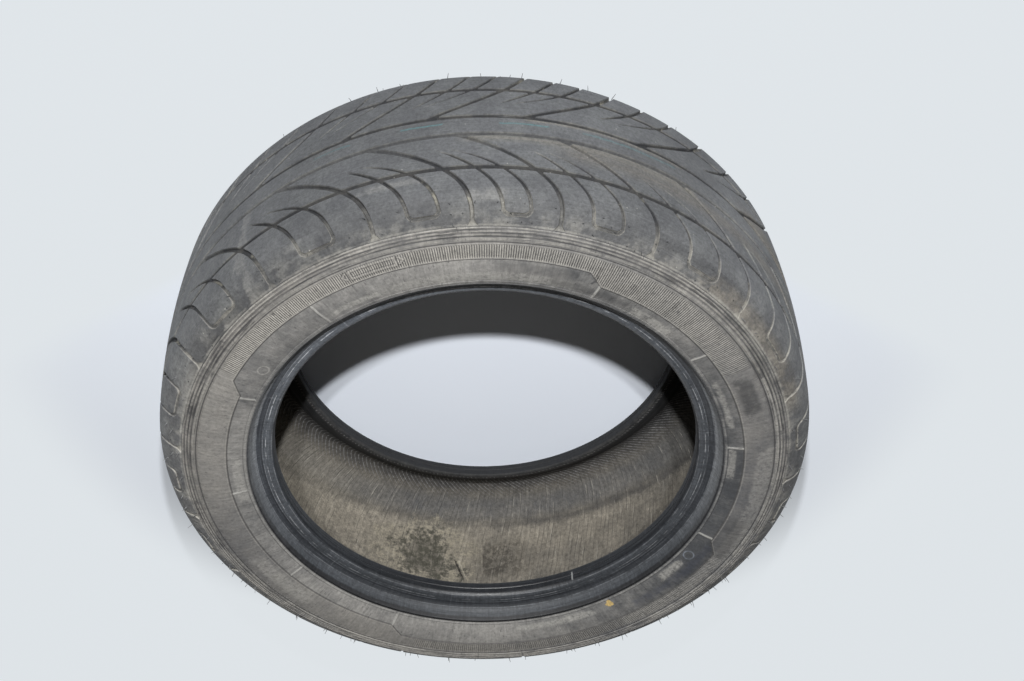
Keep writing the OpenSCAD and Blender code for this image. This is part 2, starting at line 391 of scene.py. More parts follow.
def pitch_columns(k, s):
    """Angles of the columns of pitch k at distance s, from one long groove to the next."""
    a, b, middle = pitch_at(k + 0.5), pitch_at(k + 1.5), pitch_at(k + 1)
    left, right = leg_places(a, b, middle, s)
    degree = square_degree(s)
    long_in, long_out = (long_width(s) / 2 - WALL) / degree, (long_width(s) / 2 + WALL) / degree
    leg_in, leg_out = (leg_width(s) / 2 - WALL) / degree, (leg_width(s) / 2 + WALL) / degree
    marks = [a, a + long_in, a + long_out]
    marks += spread(a + long_out, left - leg_out, BETWEEN + 1)[1:]
    marks += [left - leg_out, left - leg_in, left, left + leg_in, left + leg_out]
    from_left, to_right = left + leg_out, right - leg_out
    for i in range(1, INSIDE_LOOP + 1):
        even = i / (INSIDE_LOOP + 1)
        crowded = 0.4 * even + 0.6 * (0.5 - 0.5 * math.cos(math.pi * even))
        marks.append(from_left + (to_right - from_left) * crowded)
    marks += [right - leg_out, right - leg_in, right, right + leg_in, right + leg_out]
    marks += spread(right + leg_out, b - long_out, BETWEEN + 1)[1:]
    return marks + [b - long_out, b - long_in]


def groove(distance, width, depth, wall=WALL):
    """Depth across a groove with worn edges, at a distance from its middle."""
    return depth * (1 - ramp(distance, width / 2 - wall, width / 2 + wall))


def tread_depth(straight, s, shift):
    """Depth of the grooves of one half of the tread; straight is the angle without the lead."""
    degree = square_degree(s)
    depth = np.zeros(len(s))
    for ring in (CENTRE_GROOVE, SHOULDER_GROOVE):
        depth = np.maximum(depth, groove(np.abs(s - ring), RING_GROOVE_W, RING_GROOVE_D, RING_WALL))
    long_floor = SWEPT_D * (1 - 0.7 * ramp(s, SWEEP_END - 6 * MM, SHOULDER_END - 2 * MM))
    long_floor = long_floor * (1 - ramp(s, TREAD_END - 0.9 * MM, TREAD_END))
    leg_floor = 0.9 * SWEPT_D * (1 - 0.45 * ramp(s, 70 * MM, SWEEP_END))
    leg_floor = leg_floor * ramp(s, LOOP_TIP, LOOP_TIP + 6 * MM)
    for k in range(PITCHES):
        a, b, middle = (pitch_at(x + shift) for x in (k + 0.5, k + 1.5, k + 1))
        run = groove(np.abs(near(straight, a)) * degree, long_width(s), long_floor)
        depth = np.maximum(depth, run * (s > CENTRE_GROOVE))
        left, right = leg_places(a, b, middle, s)
        centre, half = (left + right) / 2, (right - left) / 2 * degree
        beside = np.abs(near(straight, centre)) * degree
        qx, qy = beside - (half - LOOP_CORNER), s - (LOOP_CAP - LOOP_CORNER)
        corner = np.hypot(np.clip(qx, 0, None), np.clip(qy, 0, None)) - LOOP_CORNER
        edge = np.where((qx > 0) & (qy > 0), corner, np.maximum(beside - half, s - LOOP_CAP))
        loop = groove(np.abs(edge), leg_width(s), leg_floor)
        depth = np.maximum(depth, loop * (beside < half + 9 * MM))
    return depth


def make_tread(ring, shift):
    """Turns the columns of a plain ring along the grooves, and carves the grooves."""
    row, column = grid_of(ring, TREAD_OUTLINE, TREAD_COLUMNS)
    along = np.array(TREAD_ROWS + [s for s, back in TREAD_WALL])
    marks = np.array([
        [angle for k in range(PITCHES) for angle in pitch_columns(k + shift, s)] for s in along])
    straight, s = marks[row, column], along[row]
    points = points_of(ring)
    moved = place(np.hypot(points[:, 0], points[:, 1]), points[:, 2], straight + lead(s))
    ring.data.vertices.foreach_set("co", moved.ravel())
    ring.data.update()
    on_outside = row < len(TREAD_ROWS)
    depth = np.where(on_outside, tread_depth(straight, s, shift), 0)
    record_field(ring, "cut", depth / RING_GROOVE_D)
    record_field(ring, "along", s / MM)
    carve(ring, depth)
    smooth(ring, 35)


tread_upper = lathed("tread_upper", TREAD_OUTLINE, TREAD_COLUMNS)
tread_lower = turned_over(tread_upper, "tread_lower")
make_tread(tread_upper, 0)
make_tread(tread_lower, HALF_SHIFT)


# Sidewalls: shoulder ribs, radial serration, and a recessed band with its dividing bars.
SIDE_COLUMNS = 2 * SERRATIONS
SLIM_RIBS = 3
FIRST_RIB = SHOULDER_END + 0.6 * MM
BROAD_RIB = FIRST_RIB + SLIM_RIBS * RIB_PITCH + 0.6 * MM
EDGE_GROOVE = FIRST_RIB + (SLIM_RIBS + 1) * RIB_PITCH + 1.6 * MM


def rib_rows(at, width):
    half = width / 2
    return [at - half, at - half + 0.5 * MM, at + half - 0.5 * MM, at + half]


SIDE_ROWS = sorted(
    [TREAD_END]
    + [row for i in range(SLIM_RIBS) for row in rib_rows(FIRST_RIB + i * RIB_PITCH, 1.9 * MM)]
    + rib_rows(BROAD_RIB, 3 * MM)
    + rib_rows(EDGE_GROOVE, 1.6 * MM)
    + spread(EDGE_GROOVE + 2 * MM, RIM_LINE_AT - 33.4 * MM, 8)
    + [RIM_LINE_AT - h * MM for h in (33.4, 32.6, 31.9, 31.2, 30.4, 28.6, 26.6, 24.6, 22.6, 21, 20.2,
                                      19.5, 18.8, 18, 16, 14, 12, 10, 8, 6.4, 5.2, 4.6, 3.9, 2.2, 1, 0)]
)
SIDE_WALL = [(RIM_LINE_AT - 6 * MM, -3 * MM), (BELLY_AT, -4 * MM), (SHOULDER_END + 12 * MM, -4 * MM),
             (TREAD_END, -4 * MM)]
SIDE_OUTLINE = [outside(s, RIB_H) for s in SIDE_ROWS] + [outside(s, off) for s, off in SIDE_WALL]

# Turns in degrees: the middles of the wide stretches, where they end, and how fast they narrow.
WIDE_MIDDLES = (-21.5, 158.5)
WIDE_END = 44.7
WIDE_SLOPE = 3.4
# Slim dividing bars stand a twelfth of a turn apart, apart from three that are left out.
BARS = 12
BARS_LEFT_OUT = (2, 7, 8)
FIRST_BAR = -67
# The turning sign: its turn in degrees, and its places from the rim line and from its middle.
SIGN_AT = -22
SIGN_UP = 41 * MM
SIGN_HALF_LENGTH = 20 * MM
SIGN_HALF_HEIGHT = 3.8 * MM
ARROW_AT = 27 * MM
# The serration covers the front between two turns, and the back this far each way from a middle.
RIBBED_FRONT = (-60, 59)
RIBBED_BACK, RIBBED_BACK_HALF = 157, 38
RIBBED_FADE = 3


def band_edge(turn):
    """Outer edge of the recessed band, from the rim line: wide over the front and the back."""
    away = np.minimum(*(np.abs(near(turn, middle)) for middle in WIDE_MIDDLES))
    return BAND_NARROW + (BAND_WIDE - BAND_NARROW) * np.clip((WIDE_END - away) / WIDE_SLOPE, 0, 1)


def divider(turn):
    """1 on the slim radial bars that divide the band, 0 beside them."""
    bars = np.zeros(len(turn))
    for i in range(BARS):
        if i not in BARS_LEFT_OUT:
            away = np.abs(near(turn, FIRST_BAR + i * 360 / BARS))
            bars = np.maximum(bars, 1 - ramp(away, 0.16, 0.36))
    return bars


def direction_sign(turn, inner):
    """Generic turning-direction sign: a frame with an arrowhead beyond each end."""
    x = near(turn, SIGN_AT) * math.radians(1) * BELLY_R
    y = inner - SIGN_UP
    frame_line = np.abs(np.maximum(np.abs(x) - SIGN_HALF_LENGTH, np.abs(y) - SIGN_HALF_HEIGHT))
    sign = 1 - ramp(frame_line, 0.5 * MM, 1.2 * MM)
    for side in (-1, 1):
        tip = np.abs((x - ARROW_AT * side) * side + np.abs(y))
        sign = np.maximum(sign, (1 - ramp(tip, 0.9 * MM, 1.7 * MM)) * (np.abs(y) < 4 * MM))
    return sign


def side_relief(turn, s, ribs, signs):
    """Depth below the rib tops, and how far up its serration rib each point of a sidewall is."""
    inner = RIM_LINE_AT - s
    edge = band_edge(turn)
    depth = np.full(len(s), RIB_H)
    for i in range(SLIM_RIBS):
        depth -= RIB_H * (1 - ramp(np.abs(s - FIRST_RIB - i * RIB_PITCH), 0.4 * MM, 0.95 * MM))
    depth -= RIB_H * (1 - ramp(np.abs(s - BROAD_RIB), 0.95 * MM, 1.5 * MM))
    depth += RIB_H * (1 - ramp(np.abs(s - EDGE_GROOVE), 0.25 * MM, 0.8 * MM))
    band = ramp(inner, 3.9 * MM, 4.7 * MM) * (1 - ramp(inner, edge - 0.4 * MM, edge + 0.4 * MM))
    depth += RECESS_D * band * (1 - 0.85 * divider(turn))
    start, end = RIBBED_FRONT
    ribbed_front = ramp(turn, start - RIBBED_FADE, start) * (1 - ramp(turn, end, end + RIBBED_FADE))
    away = np.abs(near(turn, RIBBED_BACK))
    ribbed_back = 1 - ramp(away, RIBBED_BACK_HALF, RIBBED_BACK_HALF + RIBBED_FADE)
    serrated = np.maximum(ribbed_front, ribbed_back) * ramp(inner, edge + 1 * MM, edge + 1.8 * MM)
    serrated = serrated * ramp(s, EDGE_GROOVE + 0.9 * MM, EDGE_GROOVE + 2.2 * MM)
    sign = direction_sign(turn, inner) * signs
    depth += SERRATION_D * serrated * (1 - ribs) * (1 - sign) - 0.3 * MM * sign
    return np.clip(depth, 0, None), serrated * (ribs - 0.5) + 0.5, (inner - edge) / MM, sign


def make_sidewall(ring, signs):
    row, column = grid_of(ring, SIDE_OUTLINE, SIDE_COLUMNS)
    s = np.array(SIDE_ROWS + [s for s, back in SIDE_WALL])[row]
    turn = turn_of(points_of(ring))
    depth, crest, past_band, sign = side_relief(turn, s, column % 2, signs)
    depth = np.where(row < len(SIDE_ROWS), depth, 0)
    record_field(ring, "crest", crest)
    record_field(ring, "past_band", past_band)
    record_field(ring, "bar", divider(turn))
    record_field(ring, "sign", sign)
    record_field(ring, "along", s / MM)
    carve(ring, depth)
    smooth(ring, 35)


sidewall_upper = lathed("sidewall_upper", SIDE_OUTLINE, SIDE_COLUMNS)
sidewall_lower = turned_over(sidewall_upper, "sidewall_lower")
make_sidewall(sidewall_upper, 1)
make_sidewall(sidewall_lower, 0)


# Carcass: both beads and the liner, one closed section with the hidden side under the rubber.
FACE_END_R = SEAT_R + HEEL_R + 3 * MM
TOE_Z = BEAD_Z - BEAD_W
INNER_CROWN_R = CROWN_R - TREAD_T
INNER_UPPER_R = UPPER_R - SIDEWALL_T
INNER_SHOULDER = min(
    INNER_SHOULDER_R, 0.9 * (INNER_CROWN_R + INNER_UPPER_R - math.dist(UPPER_C, CROWN_C)) / 2)


def arc(centre, radius, start, end, n):
    """n points along an arc, from the start angle to the end angle in degrees."""
    return [polar(centre, radius, math.radians(start + (end - start) * i / (n - 1))) for i in range(n)]


def bezier(p0, p1, p2, p3, n):
    """n points inside a cubic curve."""
    inside = []
    for i in range(1, n + 1):
        t = i / (n + 1)
        shares = ((1 - t) ** 3, 3 * (1 - t) ** 2 * t, 3 * (1 - t) * t * t, t**3)
        weighted = list(zip(shares, (p0, p1, p2, p3)))
        inside.append(tuple(sum(w * p[axis] for w, p in weighted) for axis in (0, 1)))
    return inside


def carcass_half():
    """From the rim line round the bead and up the liner to the mid plane."""
    rim_line = [
        outside(RIM_LINE_AT - 4 * MM, -2.5 * MM),
        outside(RIM_LINE_AT - 0.6 * MM, -0.5 * MM),
        (RIM_LINE_R - 0.4 * MM, RIM_LINE_Z - 0.3 * MM),
        (RIM_LINE_R - 1.2 * MM, RIM_LINE_Z - 1.4 * MM),
    ]
    hollow = arc((FACE_END_R, BEAD_Z + FLANGE_R), FLANGE_R, -24, -90, 9)
    heel = arc((SEAT_R + HEEL_R, BEAD_Z - HEEL_R), HEEL_R, 90, 180, 8)
    seat = [(SEAT_R, BEAD_Z - HEEL_R - (BEAD_W - HEEL_R - TOE_R) * t) for t in (0.3, 0.36, 0.42, 0.75)]
    seat[1] = (SEAT_R + 0.5 * MM, seat[1][1])
    toe_c = (SEAT_R + TOE_R, TOE_Z + TOE_R)
    toe = arc(toe_c, TOE_R, 180, 270, 5)
    inner_shoulder_c = meet(
        CROWN_C, INNER_CROWN_R - INNER_SHOULDER, UPPER_C, INNER_UPPER_R - INNER_SHOULDER)
    crown_a = math.degrees(heading(CROWN_C, inner_shoulder_c))
    upper_a = math.degrees(heading(UPPER_C, inner_shoulder_c))
    end_a = 94
    end = polar(UPPER_C, INNER_UPPER_R, math.radians(end_a))
    away = (-math.sin(math.radians(end_a)), math.cos(math.radians(end_a)))
    toe_lead = (toe[-1][0] + 12 * MM, toe[-1][1] + 1 * MM)
    wall_lead = (end[0] + 14 * MM * away[0], end[1] + 14 * MM * away[1])
    wall = bezier(toe[-1], toe_lead, wall_lead, end, 12)
    wall += arc(UPPER_C, INNER_UPPER_R, end_a, upper_a, 7)[:-1]
    wall += arc(inner_shoulder_c, INNER_SHOULDER, upper_a, crown_a, 10)[:-1]
    wall += arc(CROWN_C, INNER_CROWN_R, crown_a, 0, 12)
    return rim_line + hollow + heel + seat + toe + wall


HIDDEN = [(s, -5 * MM) for s in (0, 40 * MM, 80 * MM, 100 * MM, SHOULDER_END)] + [
    (SHOULDER_END + 12 * MM, -4.5 * MM), (BELLY_AT, -4.6 * MM), (RIM_LINE_AT - 14 * MM, -4.4 * MM)]
CARCASS_COLUMNS = 640
half_outline = [outside(s, off) for s, off in HIDDEN] + carcass_half()
lower_outline = [(radius, -height) for radius, height in half_outline[-2:0:-1]]
carcass = lathed("carcass", half_outline + lower_outline, CARCASS_COLUMNS)
smooth(carcass, 40)


# Vent spews: the fine rubber hairs that the mould leaves on the shoulders.
SPEW_FOOT_R = 0.38 * MM
SPEW_TIP_R = 0.2 * MM
SPEW_SIDES = 6
SPEW_JOINT = 0.6
SPEW_LEAN = 0.4
SPEWS_PER_PITCH = 3
SPEWS_TORN_OFF = 0.2
SPEW_ROWS = (SHOULDER_END - 20 * MM, SHOULDER_END - 11 * MM, SHOULDER_END - 4 * MM)


def make_spews():
    random.seed(7)
    bpy.ops.object.select_all(action="DESELECT")
    bpy.ops.mesh.primitive_cone_add(
        vertices=SPEW_SIDES, radius1=SPEW_FOOT_R, radius2=SPEW_TIP_R, depth=1, location=(0, 0, 0.5))
    hair = bpy.context.object
    hair.name = "vent_spews"
    edit(True)
    bpy.ops.mesh.select_all(action="SELECT")
    bpy.ops.mesh.bisect(plane_co=(0, 0, SPEW_JOINT), plane_no=(0, 0, 1))
    edit(False)
    bpy.ops.object.transform_apply(location=True, rotation=False, scale=False)
    hairs = [hair]
    for side in (1, -1):
        for k in range(SPEWS_PER_PITCH * PITCHES):
            for s in SPEW_ROWS:
                if random.random() < SPEWS_TORN_OFF:
                    continue
                shift = 0 if side > 0 else HALF_SHIFT
                angle = pitch_at(k / SPEWS_PER_PITCH + random.uniform(0.04, 0.3) + shift)
                foot, tip = outside(s, -0.5 * MM), outside(s, 1 * MM)
                out = Vector(place(tip[0], side * tip[1], angle) - place(foot[0], side * foot[1], angle))
                lean = Vector([random.uniform(-SPEW_LEAN, SPEW_LEAN) for axis in range(3)])
                out = (out.normalized() + lean).normalized()
                room = OUTER_R - 0.5 * MM - foot[0]
                length = min(random.uniform(3, 7) * MM, max(room, 1.5 * MM))
                pick(hair)
                bpy.ops.object.duplicate(linked=False)
                copy = bpy.context.object
                place_at = Vector(place(foot[0], side * foot[1], angle))
                copy.matrix_world = (
                    Matrix.Translation(place_at)
                    @ out.to_track_quat("Z", "Y").to_matrix().to_4x4()
                    @ Matrix.Diagonal((1, 1, length, 1)))
                hairs.append(copy)
    pick(hairs[0])
    bpy.ops.object.delete()
    for copy in hairs[1:]:
        copy.select_set(True)
    bpy.context.view_layer.objects.active = hairs[1]
    bpy.ops.object.join()
    spews = bpy.context.object
    spews.name = spews.data.name = "vent_spews"
    bpy.ops.object.transform_apply(location=True, rotation=True, scale=True)
    smooth(spews, 60)
    return spews


vent_spews = make_spews()


# Finishes. A Signal is a value or colour in a material, and arithmetic on it adds Math nodes.
class Signal:
    def __init__(self, finish, made, output):
        self.finish = finish
        self.made = made
        self.socket = made.outputs[output]

    def math(self, operation, *others):
        return self.finish.node("Math", {"operation": operation}, [self, *others])

    def __add__(self, other):
        return self.math("ADD", other)

    def __sub__(self, other):
        return self.math("SUBTRACT", other)

    def __rsub__(self, other):
        return self.finish.node("Math", {"operation": "SUBTRACT"}, [other, self])

    def __mul__(self, other):
        return self.math("MULTIPLY", other)

    def __truediv__(self, other):
        return self.math("DIVIDE", other)

    def __neg__(self):
        return self.math("MULTIPLY", -1.0)

    def __abs__(self):
        return self.math("ABSOLUTE")

    __radd__ = __add__
    __rmul__ = __mul__

    def step(self, start, end):
        """Smooth step from 0 at start to 1 at end; it falls where end is below start."""
        if end < start:
            return 1 - self.step(end, start)
        settings = {"interpolation_type": "SMOOTHSTEP"}
        return self.finish.node("MapRange", settings, {0: self, 1: start, 2: end, 3: 0.0, 4: 1.0})

    def between(self, start, end, soft):
        return self.step(start - soft, start + soft) * self.step(end + soft, end - soft)

    def highest(self, other):
        return self.math("MAXIMUM", other)


class Finish:
    """Node tree of one material, with the places that every tyre finish is laid out by."""

    def __init__(self, name):
        self.material = bpy.data.materials.new(name)
        self.material.use_nodes = True
        self.tree = self.material.node_tree
        self.tree.nodes.clear()
        self.point = self.node("TexCoord", {}, {}, "Object")
        axes = self.node("SeparateXYZ", {}, [self.point])
        self.x, self.y, self.z = (Signal(self, axes.made, i) for i in range(3))
        self.radius = (self.x * self.x + self.y * self.y).math("SQRT")
        # Degrees from the front, -Y, growing towards -X.
        self.turn = (-self.x).math("ARCTAN2", -self.y) * math.degrees(1)

    def node(self, kind, settings, inputs, output=0):
        made = self.tree.nodes.new("ShaderNode" + kind)
        for name, value in settings.items():
            if name == "stops":
                self.set_stops(made.color_ramp, value)
            else:
                setattr(made, name, value)
        pairs = inputs.items() if isinstance(inputs, dict) else enumerate(inputs)
        for name, value in pairs:
            if isinstance(value, Signal):
                self.tree.links.new(value.socket, made.inputs[name])
            else:
                made.inputs[name].default_value = value
        return Signal(self, made, output)

    @staticmethod
    def set_stops(ramp_settings, stops):
        while len(ramp_settings.elements) < len(stops):
            ramp_settings.elements.new(0.5)
        for element, (at, level) in zip(ramp_settings.elements, stops):
            element.position = at
            element.color = (level, level, level, 1)

    def field(self, name):
        return self.node("Attribute", {"attribute_name": name}, {}, "Fac")

    def levels_round(self, stops):
        """Level from 0 to 1 round the tyre, from stops of (degrees, level), both ends alike."""
        return self.levels(self.turn, stops)

    def levels(self, value, stops):
        """Level from 0 to 1 by straight steps between stops of (value, level)."""
        start, end = stops[0][0], stops[-1][0]
        places = [((at - start) / (end - start), level) for at, level in stops]
        return self.node("ValToRGB", {"stops": places}, [(value - start) / (end - start)], "Color")

    def noise(self, scale, detail=3.0, rough=0.55, vector=None, distort=0.0):
        inputs = {"Vector": vector or self.point, "Scale": scale, "Detail": detail,
                  "Roughness": rough, "Distortion": distort}
        return self.node("TexNoise", {}, inputs)

    def cells(self, scale, vector=None):
        """Distance to the nearest of some scattered dots."""
        return self.node("TexVoronoi", {}, {"Vector": vector or self.point, "Scale": scale}, "Distance")

    def streaks(self, around, across_scale, across, **more):
        """Noise drawn out round the tyre; it has no seam."""
        vector = self.node("CombineXYZ", {}, [
            self.x / self.radius * around, self.y / self.radius * around, across * across_scale])
        return self.noise(1.0, vector=vector, **more)

    def blend(self, share, low_colour, high_colour):
        return self.node("Mix", {"data_type": "RGBA"}, {0: share, 6: low_colour, 7: high_colour}, 2)

    def shade(self, colour, factor):
        """Colour times a factor."""
        return self.node("VectorMath", {"operation": "SCALE"}, {0: colour, "Scale": factor})

    def bump(self, height, distance, base=None):
        inputs = {"Height": height, "Strength": 1.0, "Distance": distance}
        if base:
            inputs["Normal"] = base
        return self.node("Bump", {}, inputs)

    def surface(self, colour, roughness, normal):
        return self.node("BsdfPrincipled", {}, {
            "Base Color": colour, "Roughness": roughness, "Normal": normal, "IOR": 1.5})

    def finish(self, colour, roughness, normal):
        """Closes the material with a plain dielectric surface."""
        self.node_output(self.surface(colour, roughness, normal))
        return self.material

    def node_output(self, surface):
        output = self.tree.nodes.new("ShaderNodeOutputMaterial")
        self.tree.links.new(surface.socket, output.inputs["Surface"])


def tone(red, green, blue):
    """Colour that shows as this, from 0 to 255, in plain light."""
    linear = []
    for level in (red, green, blue):
        c = level / 255
        linear.append(c / 12.92 if c <= 0.04045 else ((c + 0.055) / 1.055) ** 2.4)
    return (*linear, 1.0)


# Degrees of turn over which a patch fades, for each millimetre over which it fades sideways.
SOFT_TURN = 0.375


def stains(finish, colour, rows, ragged, turn, at):
    """Lays ragged patches over a colour.

    A row holds two turns, two distances, the softness of the edges, a colour and its strength.
    """
    for start, end, near_at, far_at, soft, stain, strength in rows:
        patch = turn.between(start, end, SOFT_TURN * soft) * at.between(near_at, far_at, soft)
        share = patch * ragged.step(0.25, 0.55) * strength
        colour = finish.blend(share, colour, stain)
    return colour


TEAL = tone(88, 140, 142)
SAND = tone(170, 160, 134)
BROWN = tone(128, 117, 98)
BLACK = tone(48, 49, 52)
PALE = tone(176, 174, 168)
# Two turns in degrees, two heights in millimetres, softness, colour and strength.
TREAD_STAINS = [
    (-29, -23, -4.6, -2.2, 0.5, TEAL, 0.4), (-14, -7, -4.2, -2.0, 0.5, TEAL, 0.6),
    (1, 11, -4.4, -2.2, 0.6, TEAL, 0.6), (16, 32, -4.6, -2.4, 0.7, TEAL, 0.35),
    (-4, 36, 14, 24, 5, SAND, 0.22), (6, 34, -13.5, -8.5, 2, SAND, 0.28),
    (12, 70, 24, 40, 9, BROWN, 0.3), (50, 75, -40, -10, 12, BROWN, 0.45),
]
# The same, with the distance from the middle of the tread instead of the height.
BUTTRESS_STAINS = [
    (-64, -42, 110, 123, 4, BLACK, 0.35), (-57, -54, 117, 122, 1.5, BLACK, 0.8),
    (-53, -51, 117, 121, 1.5, PALE, 0.5), (28, 48, 97, 107, 5, BLACK, 0.4),
    (-45, -43, 10, 120, 1.2, PALE, 0.22), (-20, -10, 69, 76, 3, PALE, 0.3),
    (-3, 3, 88, 99, 3, PALE, 0.25), (-35.5, -31.5, 96, 102, 3, PALE, 0.3),
    (40, 75, 104, 121, 6, BROWN, 0.3),
]
# How dusty the crown is: (degrees from the front, level).
TREAD_DUST = [
    (-180, 0.45), (-120, 0.35), (-80, 0.75), (-55, 0.5), (-35, 0.15), (30, 0.15), (70, 0.4),
    (180, 0.45),
]
# Painted light and shade round the tyre: how much lighter or darker the tread is made at each turn.
TREAD_LIGHT_AND_SHADE = [
    (-180, 0.7), (-120, 0.98), (-90, 0.98), (-70, 0.74), (-50, 0.54), (-30, 0.47), (-10, 0.46),
    (10, 0.53), (30, 0.53), (50, 0.7), (75, 0.76), (110, 0.72), (180, 0.7),
]


def tread_rubber():
    f = Finish("tread_rubber")
    cut, along = f.field("cut"), f.field("along")
    broad = f.noise(11.0, 4.0, 0.6)
    blotch = f.noise(46.0, 5.0, 0.65)
    mottle = f.noise(330.0, 4.0, 0.75)
    grain = f.noise(900.0, 2.0, 0.6)
    drag = f.streaks(5.0, 900.0, f.z, detail=4.0, rough=0.7)
    wipe = f.streaks(14.0, 130.0, f.z, detail=5.0, rough=0.6)
    colour = f.blend(broad.step(0.35, 0.65), tone(90, 91, 93), tone(101, 102, 104))
    colour = f.blend(blotch.step(0.42, 0.72) * 0.4, colour, tone(113, 115, 115))
    colour = f.blend(wipe.step(0.5, 0.75) * 0.4, colour, tone(79, 80, 82))
    dusty = f.levels_round(TREAD_DUST)
    colour = f.blend(dusty * blotch.step(0.25, 0.7) * 0.8, colour, tone(134, 135, 133))
    # Buttress: brownish dust that thickens towards the sidewall, and darker rubbed patches.
    buttress = along.step(92.0, 108.0)
    outer = along.step(102.0, 121.0)
    colour = f.blend(buttress * broad.step(0.4, 0.62) * 0.3, colour, tone(120, 118, 112))
    colour = f.blend(outer * (0.15 + 0.6 * blotch.step(0.4, 0.62)), colour, tone(134, 132, 127))
    colour = f.blend(buttress * blotch.step(0.58, 0.42) * 0.6, colour, tone(78, 79, 81))
    smudge = f.noise(24.0, 3.0, 0.7, distort=0.6)
    colour = f.blend(buttress * smudge.step(0.60, 0.68) * 0.6, colour, tone(66, 67, 70))
    warped_turn = f.turn + (blotch - 0.5) * 9.0
    warped_z = f.z * 1000.0 + (smudge - 0.5) * 7.0
    colour = stains(f, colour, TREAD_STAINS, drag, warped_turn, warped_z)
    colour = stains(f, colour, BUTTRESS_STAINS, blotch, warped_turn, along * f.z.math("SIGN"))
    # Grooves: dark inside on the crown, with dirt and painted shade; filled with pale dust on the buttress.
    groove_dirt_and_shade = f.blend(blotch.step(0.4, 0.65), tone(44, 45, 48), tone(72, 71, 69))
    worn_away = along.step(44.0, 24.0) * f.z.step(-0.004, 0.006)
    dark_share = cut.step(0.1, 0.4) * (0.93 - worn_away * 0.5)
    colour = f.blend(dark_share * along.step(104.0, 90.0), colour, groove_dirt_and_shade)
    dust_share = cut.step(0.03, 0.14) * along.step(84.0, 100.0)
    colour = f.blend(dust_share * (0.45 + 0.4 * blotch.step(0.35, 0.6)), colour, tone(150, 147, 139))
    # Darker middles of the buttress grooves: painted shade.
    middle = cut.step(0.2, 0.32) * along.step(84.0, 100.0)
    colour = f.blend(middle * (0.25 + 0.45 * blotch.step(0.6, 0.45)), colour, tone(62, 63, 65))
    lip = cut.between(0.05, 0.3, 0.05)
    colour = f.blend(lip * blotch.step(0.4, 0.62) * 0.3, colour, tone(140, 138, 130))
    packed = cut.step(0.2, 0.4) * smudge.step(0.56, 0.66) * along.between(66.0, 104.0, 5.0)
    colour = f.blend(packed * 0.7, colour, tone(160, 156, 142))
    hem = along.between(TREAD_END / MM - 2.2, TREAD_END / MM - 0.4, 0.5)
    colour = f.blend(hem * blotch.step(0.3, 0.55) * 0.6, colour, tone(152, 150, 144))
    # Painted light and shade: the whole tread is made lighter or darker round the tyre.
    tread_light_and_shade = f.levels_round(TREAD_LIGHT_AND_SHADE)
    colour = f.shade(colour, (-0.15 + 0.7 * drag + 1.5 * mottle) * tread_light_and_shade * 1.42)
    scratch = f.streaks(9.0, 2600.0, f.z, detail=2.0).step(0.66, 0.74) * wipe.step(0.4, 0.6)
    colour = f.blend(scratch * 0.25, colour, tone(160, 162, 164))
    # Vent pits, which are not modelled, are painted as dark dots: painted shade.
    vents = 1 - f.cells(118.0).step(0.07, 0.12)
    colour = f.blend(vents * buttress * 0.8, colour, tone(34, 35, 37))
    specks = (1 - f.cells(130.0).step(0.06, 0.12)) * blotch.step(0.55, 0.62)
    colour = f.blend(specks * 0.5, colour, tone(176, 174, 166))
    roughness = 0.66 + 0.22 * blotch + 0.1 * cut.step(0.1, 0.4)
    normal = f.bump(grain * 0.6 + drag * 0.8, 0.35 * MM)
    normal = f.bump(mottle + blotch, 0.45 * MM, normal)
    return f.finish(colour, roughness, normal)


def dot(f, inner, turn, at):
    """Distance in millimetres from one spot of the sidewall."""
    across = (f.turn - turn) * (math.radians(1) / MM) * f.radius
    down = inner - at
    return (across * across + down * down).math("SQRT")


# Two turns, two distances outward from the rim line in millimetres, softness, colour, strength.
SIDE_STAINS_AND_SHADE = [
    (-34, -23, 8, 14, 1, PALE, 0.5), (-20, 18, 5, 16, 1.5, PALE, 0.35), (32, 44, 3, 13, 1.5, PALE, 0.5),
    (62, 76, 6, 12, 1.5, PALE, 0.4), (84, 93, 5, 12, 1, PALE, 0.4), (124, 131, 7, 16, 1.5, PALE, 0.5),
    (151, 172, 8, 15, 1.5, PALE, 0.45), (-100, -86, 7, 15, 1.5, PALE, 0.35),
    (-136, -118, 24, 40, 3, PALE, 0.35), (2, 17, 18, 28, 2, BLACK, 0.35),
    # The black row from -1 to 4.5 mm, between -40 and 44 degrees, is painted shade along the rim line.
    (13, 31, 7, 16, 3, BLACK, 0.45), (-40, 44, -1, 4.5, 1, BLACK, 0.4),
    (-140, -68, 50, 57, 1, BLACK, 0.25), (-62, 36, 50, 57, 1, BLACK, 0.36),
    (62, 142, 50, 57, 1, PALE, 0.4), (84, 146, 32, 49, 2, PALE, 0.26),
    (63, 73, 25, 41, 3, BLACK, 0.65), (105, 118, 20, 42, 4, BLACK, 0.45),
    (115, 142, 18, 27, 3, tone(58, 62, 74), 0.5),
    (21.3, 21.8, 20, 40, 0.5, BLACK, 0.7), (28.9, 29.3, 22, 36, 0.5, BLACK, 0.7),
    (37.8, 38.4, 21, 42, 0.6, BLACK, 0.7), (43.4, 43.8, 18, 34, 0.5, BLACK, 0.6),
    (-60, -57, 52, 61, 1, BLACK, 0.7), (-76, -73, 53, 60, 1, BLACK, 0.7),
    (56, 68, 52, 60, 1.5, BLACK, 0.5), (-18, -8, 52, 60, 1.5, BLACK, 0.4),
    (-2, 6, 53, 57, 1, BLACK, 0.6), (60, 64, 49, 55, 1, BLACK, 0.7),
]
# Plain moulded rings: turn in degrees, millimetres from the rim line, colour and strength.
MOULDED_RINGS = [(-57.5, 13.0, PALE, 0.45), (120.7, 12.0, tone(140, 148, 160), 0.5)]
